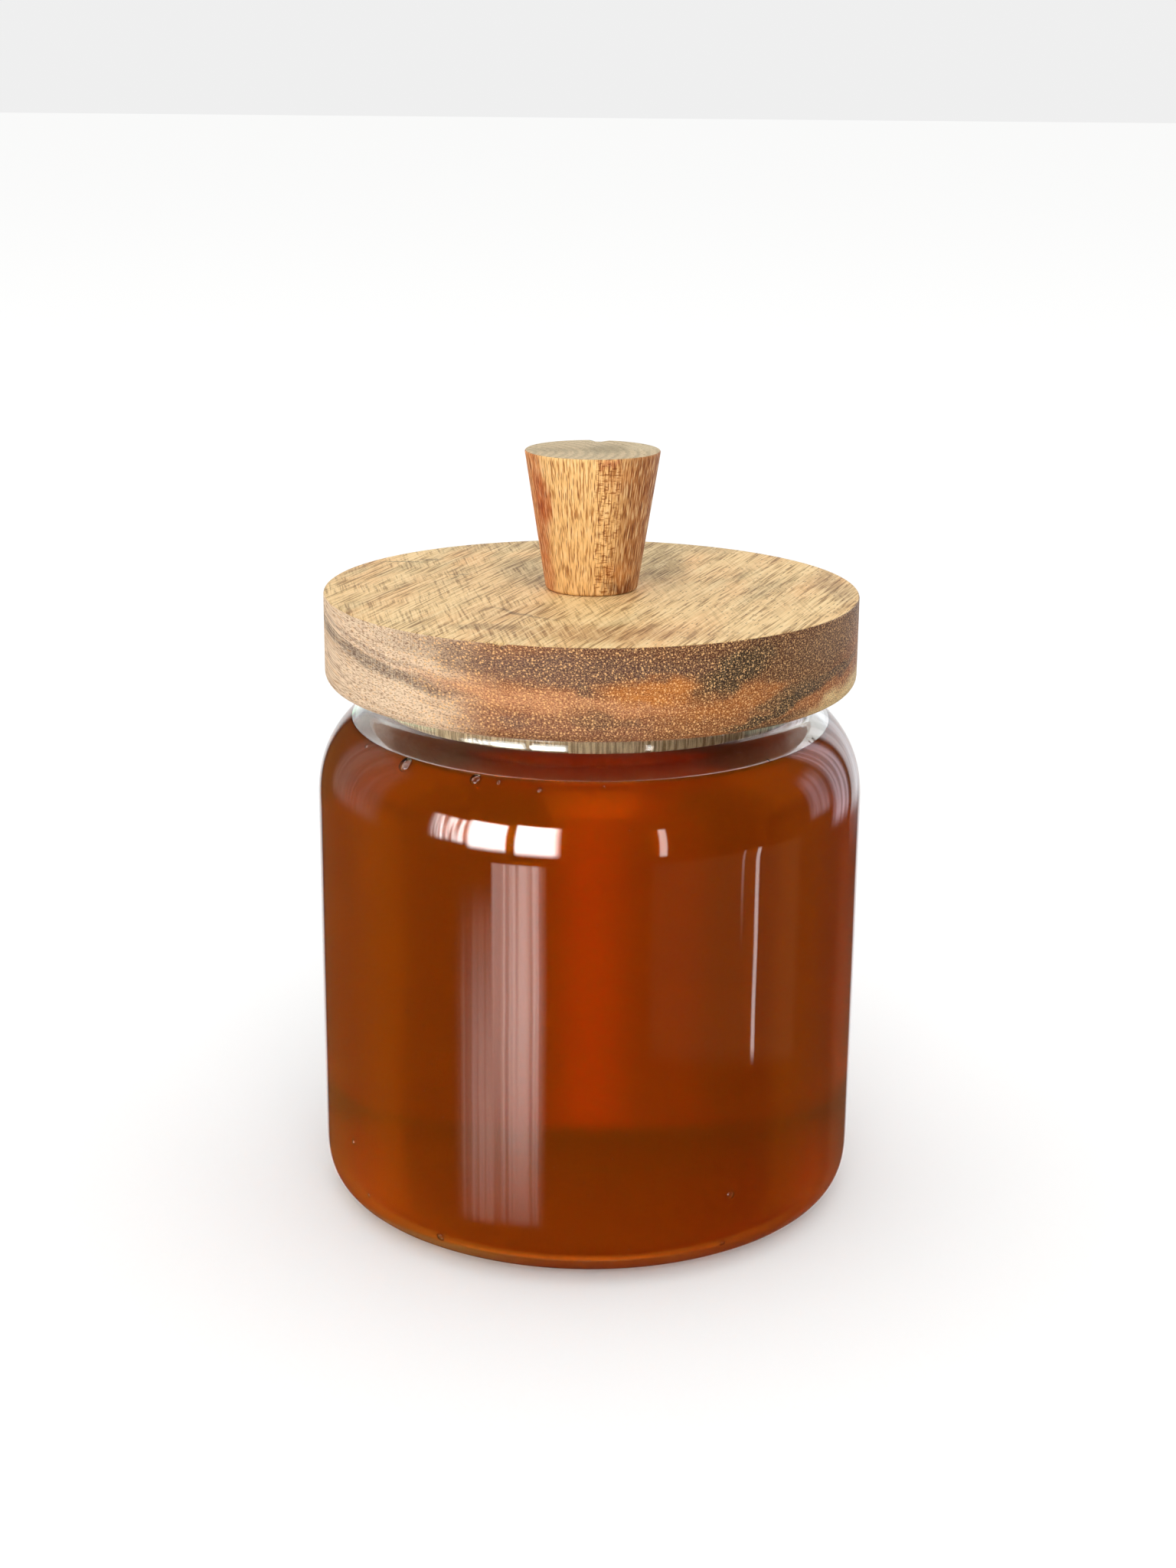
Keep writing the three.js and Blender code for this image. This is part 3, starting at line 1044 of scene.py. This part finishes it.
studio = {
    "floorSize": 30.0,
    "floorDrop": 0.0002,  # in metres, so that the foot and the floor aren't in one plane
    "floorColour": (0.91, 0.91, 0.905),
    "backdrop": 0.865,  # what the camera sees behind the floor
    "ambient": 1.05,  # what lights rough surfaces
    "reflect": 0.02,  # what polished faces mirror between the panes
    "bearingStart": -155,  # in degrees, where the bearings of the panes begin
    "foldScale": (0.42, 0.02),
    "foldNoise": (0.38, 0.6),
    # Soft panes of light that polished faces mirror. Bearings run from the front, positive to the
    # right, and heights are over the horizon, both in degrees as (from, to). Then come the
    # softness of the left, right, low and high edges, the brightness, the colour and how much
    # it is veiled by the folds of a curtain
    "panes": [
        ((-40, -19.5), (-24.8, -15.5), (1.2, 3, 4, 0.6), 6.2, (0.92, 1.0, 1.02), 0.5),
        ((-53, -40), (-26.2, -20.0), (6, 0.8, 3.0, 2.5), 2.7, (0.92, 1.0, 1.02), 0.5),
        ((-66, -50), (-4, 16), (4, 1.5, 2.5, 1.5), 20.0, (0.9, 1.0, 1.04), 0.85),
        ((-50, -34), (-6, 18), (1.5, 0.8, 3.0, 1.0), 29.0, (0.9, 1.0, 1.04), 0.15),
        ((-30, -13), (-7, 20), (0.8, 2.5, 3.0, 1.0), 29.0, (0.9, 1.0, 1.04), 0.0),
        ((26, 98), (-22.3, -13.2), (1.5, 3, 0.3, 1), 0.22, (1.2, 0.75, 0.4), 0.0),
        ((73.2, 75.0), (-22.2, -12.5), (0.5, 0.5, 0.3, 1), 7.0, (0.9, 0.9, 0.88), 0.0),
        ((66.0, 67.2), (-18.5, -12.5), (0.4, 0.4, 1.5, 1), 2.5, (0.9, 0.9, 0.88), 0.0),
        ((28.5, 31.5), (-8, 17), (0.6, 0.6, 1, 1), 9.0, (1.0, 0.98, 0.94), 0.0),
        ((-136, -98), (-8, 34), (5, 5, 4, 6), 0.5, (0.92, 0.88, 0.95), 0.4),
        ((104, 118), (-6, 20), (3, 3, 3, 6), 1.5, (0.96, 0.88, 1.0), 0.4),
        ((122, 138), (-14, 34), (3, 3, 3, 6), 2.0, (0.96, 0.88, 1.0), 0.5),
        ((143, 164), (-15, 34), (2, 3, 3, 4), 1.8, (0.92, 0.96, 1.0), 0.3),
        ((132, 172), (-45, -18), (5, 4, 1, 3), 0.12, (1.0, 0.7, 0.45), 0.0),
        ((160, 201), (-30, 50), (3, 3, 5, 5), 1.0, (1.0, 1.0, 1.0), 0.0),
        ((-171, -140), (-45, 40), (5, 10, 5, 3), 0.1, (1.0, 0.55, 0.3), 0.0),
    ],
    # The same for light that passes through the honey, with bearings from straight behind
    "through": 0.85,
    "throughFront": 0.03,
    "frontEnds": (98, 112),  # the bearings over which the back turns into the front
    "glows": [
        ((-10, 4), (-60, 0), (6, 4, 1, 1), 4.0, (1.0, 1.0, 1.0), 0.0),
        ((-17, -4), (-30, 0), (6, 4, 4, 1), 1.6, (1.0, 1.1, 1.0), 0.0),
        ((59, 96), (-24, 0), (8, 3, 1, 1), 1.6, (1.0, 1.2, 0.9), 0.0),
        ((52, 96), (-60, -23), (8, 3, 1, 2), 1.6, (1.0, 1.4, 0.8), 0.0),
        ((-56, -16), (-60, 0), (4, 3, 1, 1), 0.9, (0.9, 1.6, 1.0), 0.0),
        ((-96, -60), (-60, 0), (3, 8, 1, 1), 2.6, (1.0, 1.25, 0.9), 0.0),
        ((92, 150), (-60, 10), (3, 3, 1, 1), 0.35, (1.0, 0.75, 0.5), 0.0),
        ((-150, -92), (-60, 10), (3, 3, 1, 1), 0.35, (1.0, 0.75, 0.5), 0.0),
        ((30, 94), (10, 60), (10, 3, 4, 1), 2.6, (1.0, 1.06, 1.0), 0.0),
        ((-94, -40), (10, 60), (3, 8, 4, 1), 2.4, (1.0, 1.06, 1.0), 0.0),
        ((-30, 30), (10, 60), (8, 8, 3, 1), 1.0, (1.0, 1.05, 0.97), 0.0),
        ((-180, 180), (-90, -36), (1, 1, 1, 3), 0.9, (1.0, 0.42, 0.06), 0.0),
        ((-16, 12), (-90, -38), (9, 9, 1, 4), 2.6, (1.0, 0.45, 0.05), 0.0),
    ],
    # The lamp's bearing and height in degrees, and the rest in metres and watts
    "lamp": {
        "bearing": 2,
        "height": 50,
        "distance": 2.4,
        "size": 1.4,
        "power": 15.5,
        "aimHeight": 0.06,
    },
}


def makeFloor(spec):
    nothingSelected()
    bpy.ops.mesh.primitive_plane_add(size=spec["floorSize"], location=(0, 0, -spec["floorDrop"]))
    floor = bpy.context.object
    floor.name = "floor"
    material, _, shader, _ = newMaterial("paleFloor")
    shader.inputs["Base Color"].default_value = (*spec["floorColour"], 1)
    shader.inputs["Roughness"].default_value = 0.9
    shader.inputs["Specular IOR Level"].default_value = 0.0
    floor.data.materials.append(material)
    floor.visible_glossy = False
    floor.visible_transmission = False


def addPane(tree, bearing, height, folds, around, pane):
    # Folds is how much a curtain veils each place, and around is the light outside the pane
    across, upright, soft, strength, colour, veil = pane
    left = spread(tree, bearing, across[0] - soft[0], across[0] + soft[0])
    right = spread(tree, bearing, across[1] + soft[1], across[1] - soft[1])
    low = spread(tree, height, upright[0] - soft[2], upright[0] + soft[2])
    high = spread(tree, height, upright[1] + soft[3], upright[1] - soft[3])
    share = maths(tree, "MULTIPLY", left, right)
    share = maths(tree, "MULTIPLY", share, maths(tree, "MULTIPLY", low, high))
    if veil:
        unveiled = spread(tree, folds, *studio["foldNoise"], 1 - veil, 1)
        share = maths(tree, "MULTIPLY", share, unveiled)
    return blend(tree, share, around, tuple(strength * c for c in colour))


def makeWorld(spec):
    world = bpy.data.worlds.new("studio")
    bpy.context.scene.world = world
    world.use_nodes = True
    tree = world.node_tree
    tree.nodes.clear()
    world.cycles.sampling_method = "NONE"
    output = tree.nodes.new("ShaderNodeOutputWorld")
    plain = tree.nodes.new("ShaderNodeBackground")
    polished = tree.nodes.new("ShaderNodeBackground")
    choose = tree.nodes.new("ShaderNodeMixShader")
    tree.links.new(plain.outputs[0], choose.inputs[1])
    tree.links.new(polished.outputs[0], choose.inputs[2])
    tree.links.new(choose.outputs[0], output.inputs["Surface"])
    direction = tree.nodes.new("ShaderNodeTexCoord").outputs["Generated"]
    x, y, z = parted(tree, direction)
    path = tree.nodes.new("ShaderNodeLightPath")
    ambient = spec["ambient"]
    cameraRay = path.outputs["Is Camera Ray"]
    seen = maths(tree, "MULTIPLY_ADD", cameraRay, spec["backdrop"] - ambient, ambient)
    inDegrees = 180 / math.pi
    height = maths(tree, "MULTIPLY", maths(tree, "ARCSINE", z), inDegrees)
    bearing = maths(tree, "MULTIPLY", frontBearing(tree, x, y), inDegrees)
    start = spec["bearingStart"]
    fromStart = maths(tree, "MODULO", maths(tree, "ADD", bearing, 360 - start), 360)
    bearing = maths(tree, "ADD", fromStart, start)
    along, upright = spec["foldScale"]
    drape = flat(tree, maths(tree, "MULTIPLY", bearing, along), maths(tree, "MULTIPLY", height, upright))
    folds = noise(tree, drape, 1, 1).outputs[0]
    reflected = (spec["reflect"],) * 3
    for pane in spec["panes"]:
        reflected = addPane(tree, bearing, height, folds, reflected, pane)
    behind = maths(tree, "MULTIPLY", maths(tree, "ARCTAN2", x, y), inDegrees)
    through = (spec["through"],) * 3
    for pane in spec["glows"]:
        through = addPane(tree, behind, height, folds, through, pane)
    # Light that comes back out at the front is the same that the panes give
    front = blend(tree, 1.0, reflected, (spec["throughFront"],) * 3, "ADD")
    toFront = spread(tree, maths(tree, "ABSOLUTE", behind), *spec["frontEnds"])
    through = blend(tree, toFront, through, front)
    glossy = maths(tree, "MULTIPLY", path.outputs["Is Glossy Ray"], path.outputs["Is Reflection Ray"])
    transmitted = path.outputs["Is Transmission Ray"]
    tree.links.new(maths(tree, "MAXIMUM", glossy, transmitted), choose.inputs[0])
    tree.links.new(blend(tree, transmitted, reflected, through), polished.inputs["Color"])
    tree.links.new(seen, plain.inputs["Color"])


def makeLamp(spec):
    data = bpy.data.lights.new("keyLight", "AREA")
    data.size = spec["size"]
    data.energy = spec["power"]
    lamp = bpy.data.objects.new("keyLight", data)
    bpy.context.scene.collection.objects.link(lamp)
    bearing, height = math.radians(spec["bearing"]), math.radians(spec["height"])
    level = math.cos(height)
    out = Vector((math.sin(bearing) * level, -math.cos(bearing) * level, math.sin(height)))
    lamp.location = Vector((0, 0, spec["aimHeight"])) + out * spec["distance"]
    lamp.rotation_mode = "QUATERNION"
    lamp.rotation_quaternion = out.to_track_quat("Z", "Y")
    lamp.visible_camera = False
    lamp.visible_glossy = False


makeFloor(studio)
makeWorld(studio)
makeLamp(studio["lamp"])
bpy.context.scene.view_settings.view_transform = "Standard"
report("studio lit")
